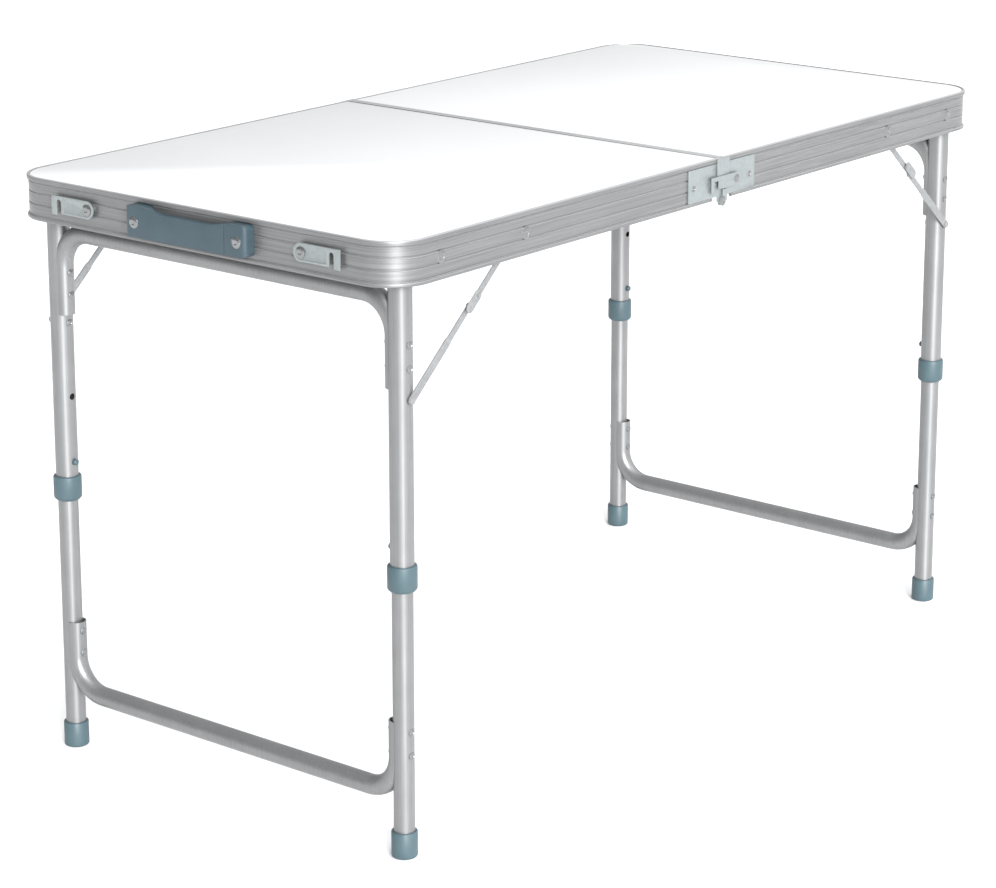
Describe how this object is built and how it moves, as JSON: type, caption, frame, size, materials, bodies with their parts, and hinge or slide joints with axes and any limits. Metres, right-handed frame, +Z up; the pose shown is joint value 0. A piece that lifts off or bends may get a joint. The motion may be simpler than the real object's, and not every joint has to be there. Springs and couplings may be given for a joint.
{
  "type": "folding table",
  "caption": "Rectangular suitcase folding table: two white leaves hinged mid-length in a grooved metal edge, with telescoping fold-in leg frames, braces, hooks and a carrying handle.",
  "frame": {"origin": "centre of the table on the floor, under the seam between the leaves", "axes": "+X along the table from the handle end to the catch end, +Y across it, +Z up"},
  "size_m": [1.2451, 0.622, 0.736],
  "materials": {
    "white_board": "board with a smooth white laminate face",
    "edge_extrusion": "extruded, fine brushed grain along the edge",
    "tube_metal": "satin silver tube",
    "zinc_steel": "zinc-plated pressed sheet",
    "brace_steel": "pressed strip, dull zinc",
    "rivet_steel": "bright rivets",
    "spring_steel": "spring strip",
    "grey_plastic": "moulded blue-grey plastic",
    "handle_plastic": "moulded dark blue-grey plastic"
  },
  "bodies": {
    "leaf_a": {"skirt_frame_a": "edge_extrusion", "table_board_a": "white_board", "centre_rail_a": "edge_extrusion", "leg_brackets_a": "brace_steel", "hinge_plates_a": "zinc_steel", "skirt_rivets_a": "rivet_steel", "carrying_handle": "handle_plastic", "handle_rivets": "rivet_steel", "hook_rivets": "rivet_steel", "lock_studs": "rivet_steel", "hinge_pins": "rivet_steel"},
    "leaf_b": {"skirt_frame_b": "edge_extrusion", "table_board_b": "white_board", "centre_rail_b": "edge_extrusion", "leg_brackets_b": "brace_steel", "hinge_plates_b": "zinc_steel", "skirt_rivets_b": "rivet_steel", "lever_rivets": "rivet_steel", "catch_studs": "rivet_steel"},
    "leg_a": {"leg_a_tubes": "tube_metal", "leg_a_cross_tube": "tube_metal", "leg_a_collars": "grey_plastic", "leg_a_pivot_pins": "rivet_steel", "leg_a_rivets": "rivet_steel"},
    "foot_a": {"foot_a_tubes": "tube_metal", "foot_a_cross_tube": "tube_metal", "foot_a_caps": "grey_plastic", "foot_a_rivets": "rivet_steel", "foot_a_springs": "spring_steel"},
    "snap_button_a_near": {"snap_button_a_near": "grey_plastic"},
    "brace_a_near_upper": {"brace_a_near_upper": "brace_steel"},
    "brace_a_near_lower": {"brace_a_near_lower": "brace_steel"},
    "brace_a_near_lock": {"brace_a_near_lock": "brace_steel"},
    "snap_button_a_far": {"snap_button_a_far": "grey_plastic"},
    "brace_a_far_upper": {"brace_a_far_upper": "brace_steel"},
    "brace_a_far_lower": {"brace_a_far_lower": "brace_steel"},
    "brace_a_far_lock": {"brace_a_far_lock": "brace_steel"},
    "leg_b": {"leg_b_tubes": "tube_metal", "leg_b_cross_tube": "tube_metal", "leg_b_collars": "grey_plastic", "leg_b_pivot_pins": "rivet_steel", "leg_b_rivets": "rivet_steel"},
    "foot_b": {"foot_b_tubes": "tube_metal", "foot_b_cross_tube": "tube_metal", "foot_b_caps": "grey_plastic", "foot_b_rivets": "rivet_steel", "foot_b_springs": "spring_steel"},
    "snap_button_b_near": {"snap_button_b_near": "grey_plastic"},
    "brace_b_near_upper": {"brace_b_near_upper": "brace_steel"},
    "brace_b_near_lower": {"brace_b_near_lower": "brace_steel"},
    "brace_b_near_lock": {"brace_b_near_lock": "brace_steel"},
    "snap_button_b_far": {"snap_button_b_far": "grey_plastic"},
    "brace_b_far_upper": {"brace_b_far_upper": "brace_steel"},
    "brace_b_far_lower": {"brace_b_far_lower": "brace_steel"},
    "brace_b_far_lock": {"brace_b_far_lock": "brace_steel"},
    "closing_hook_near": {"closing_hook_near": "zinc_steel"},
    "lock_lever_near": {"lock_lever_near": "zinc_steel"},
    "closing_hook_far": {"closing_hook_far": "zinc_steel"},
    "lock_lever_far": {"lock_lever_far": "zinc_steel"}
  },
  "joints": [
    {"name": "leaf_fold", "type": "hinge", "parent": "leaf_a", "child": "leaf_b", "pos_m": [0, 0, 0.6815], "axis": [0, 1, 0], "range_deg": [0, 75]},
    {"name": "leg_a_fold", "type": "hinge", "parent": "leaf_a", "child": "leg_a", "pos_m": [-0.566, 0, 0.7095], "axis": [0, -1, 0], "range_deg": [0, 90]},
    {"name": "leg_a_shorten", "type": "slide", "parent": "leg_a", "child": "foot_a", "axis": [0, 0, 1], "range_m": [0, 0.155]},
    {"name": "snap_button_a_near_press", "type": "slide", "parent": "leg_a", "child": "snap_button_a_near", "axis": [0, 1, 0], "range_m": [-0.004, 0], "stiffness_N_per_m": 600, "springref_m": 0.0005},
    {"name": "brace_a_near_upper_turn", "type": "hinge", "parent": "leaf_a", "child": "brace_a_near_upper", "pos_m": [-0.383, -0.2894, 0.7095], "axis": [0, -1, 0], "range_deg": [0, 138.75]},
    {"name": "brace_a_near_lower_turn", "type": "hinge", "parent": "brace_a_near_upper", "child": "brace_a_near_lower", "pos_m": [-0.46604, -0.2875, 0.63667], "axis": [0, -1, 0], "range_deg": [-180, 0]},
    {"name": "brace_a_near_lock_lift", "type": "hinge", "parent": "brace_a_near_upper", "child": "brace_a_near_lock", "pos_m": [-0.45326, -0.292, 0.64788], "axis": [0, -1, 0], "range_deg": [0, 20]},
    {"name": "snap_button_a_far_press", "type": "slide", "parent": "leg_a", "child": "snap_button_a_far", "axis": [0, -1, 0], "range_m": [-0.004, 0], "stiffness_N_per_m": 600, "springref_m": 0.0005},
    {"name": "brace_a_far_upper_turn", "type": "hinge", "parent": "leaf_a", "child": "brace_a_far_upper", "pos_m": [-0.383, 0.2894, 0.7095], "axis": [0, -1, 0], "range_deg": [0, 138.75]},
    {"name": "brace_a_far_lower_turn", "type": "hinge", "parent": "brace_a_far_upper", "child": "brace_a_far_lower", "pos_m": [-0.46604, 0.2875, 0.63667], "axis": [0, -1, 0], "range_deg": [-180, 0]},
    {"name": "brace_a_far_lock_lift", "type": "hinge", "parent": "brace_a_far_upper", "child": "brace_a_far_lock", "pos_m": [-0.45326, 0.292, 0.64788], "axis": [0, -1, 0], "range_deg": [0, 20]},
    {"name": "leg_b_fold", "type": "hinge", "parent": "leaf_b", "child": "leg_b", "pos_m": [0.566, 0, 0.7095], "axis": [0, 1, 0], "range_deg": [0, 90]},
    {"name": "leg_b_shorten", "type": "slide", "parent": "leg_b", "child": "foot_b", "axis": [0, 0, 1], "range_m": [0, 0.155]},
    {"name": "snap_button_b_near_press", "type": "slide", "parent": "leg_b", "child": "snap_button_b_near", "axis": [0, 1, 0], "range_m": [-0.004, 0], "stiffness_N_per_m": 600, "springref_m": 0.0005},
    {"name": "brace_b_near_upper_turn", "type": "hinge", "parent": "leaf_b", "child": "brace_b_near_upper", "pos_m": [0.383, -0.2894, 0.7095], "axis": [0, 1, 0], "range_deg": [0, 138.75]},
    {"name": "brace_b_near_lower_turn", "type": "hinge", "parent": "brace_b_near_upper", "child": "brace_b_near_lower", "pos_m": [0.46604, -0.2875, 0.63667], "axis": [0, 1, 0], "range_deg": [-180, 0]},
    {"name": "brace_b_near_lock_lift", "type": "hinge", "parent": "brace_b_near_upper", "child": "brace_b_near_lock", "pos_m": [0.45326, -0.292, 0.64788], "axis": [0, 1, 0], "range_deg": [0, 20]},
    {"name": "snap_button_b_far_press", "type": "slide", "parent": "leg_b", "child": "snap_button_b_far", "axis": [0, -1, 0], "range_m": [-0.004, 0], "stiffness_N_per_m": 600, "springref_m": 0.0005},
    {"name": "brace_b_far_upper_turn", "type": "hinge", "parent": "leaf_b", "child": "brace_b_far_upper", "pos_m": [0.383, 0.2894, 0.7095], "axis": [0, 1, 0], "range_deg": [0, 138.75]},
    {"name": "brace_b_far_lower_turn", "type": "hinge", "parent": "brace_b_far_upper", "child": "brace_b_far_lower", "pos_m": [0.46604, 0.2875, 0.63667], "axis": [0, 1, 0], "range_deg": [-180, 0]},
    {"name": "brace_b_far_lock_lift", "type": "hinge", "parent": "brace_b_far_upper", "child": "brace_b_far_lock", "pos_m": [0.45326, 0.292, 0.64788], "axis": [0, 1, 0], "range_deg": [0, 20]},
    {"name": "closing_hook_near_turn", "type": "hinge", "parent": "leaf_a", "child": "closing_hook_near", "pos_m": [-0.6151, -0.1695, 0.7095], "axis": [1, 0, 0], "range_deg": [0, 90]},
    {"name": "lock_lever_near_turn", "type": "hinge", "parent": "leaf_b", "child": "lock_lever_near", "pos_m": [0.027, -0.309, 0.7059], "axis": [0, 1, 0], "range_deg": [0, 60]},
    {"name": "closing_hook_far_turn", "type": "hinge", "parent": "leaf_a", "child": "closing_hook_far", "pos_m": [-0.6151, 0.1695, 0.7095], "axis": [-1, 0, 0], "range_deg": [0, 90]},
    {"name": "lock_lever_far_turn", "type": "hinge", "parent": "leaf_b", "child": "lock_lever_far", "pos_m": [0.027, 0.309, 0.7059], "axis": [0, 1, 0], "range_deg": [0, 60]}
  ],
  "couplings": [
    {"joint": "brace_a_near_upper_turn", "follows": "leg_a_fold", "ratio": 1.5416},
    {"joint": "brace_a_near_lower_turn", "follows": "leg_a_fold", "ratio": -2},
    {"joint": "brace_a_far_upper_turn", "follows": "leg_a_fold", "ratio": 1.5416},
    {"joint": "brace_a_far_lower_turn", "follows": "leg_a_fold", "ratio": -2},
    {"joint": "brace_b_near_upper_turn", "follows": "leg_b_fold", "ratio": 1.5416},
    {"joint": "brace_b_near_lower_turn", "follows": "leg_b_fold", "ratio": -2},
    {"joint": "brace_b_far_upper_turn", "follows": "leg_b_fold", "ratio": 1.5416},
    {"joint": "brace_b_far_lower_turn", "follows": "leg_b_fold", "ratio": -2}
  ]
}
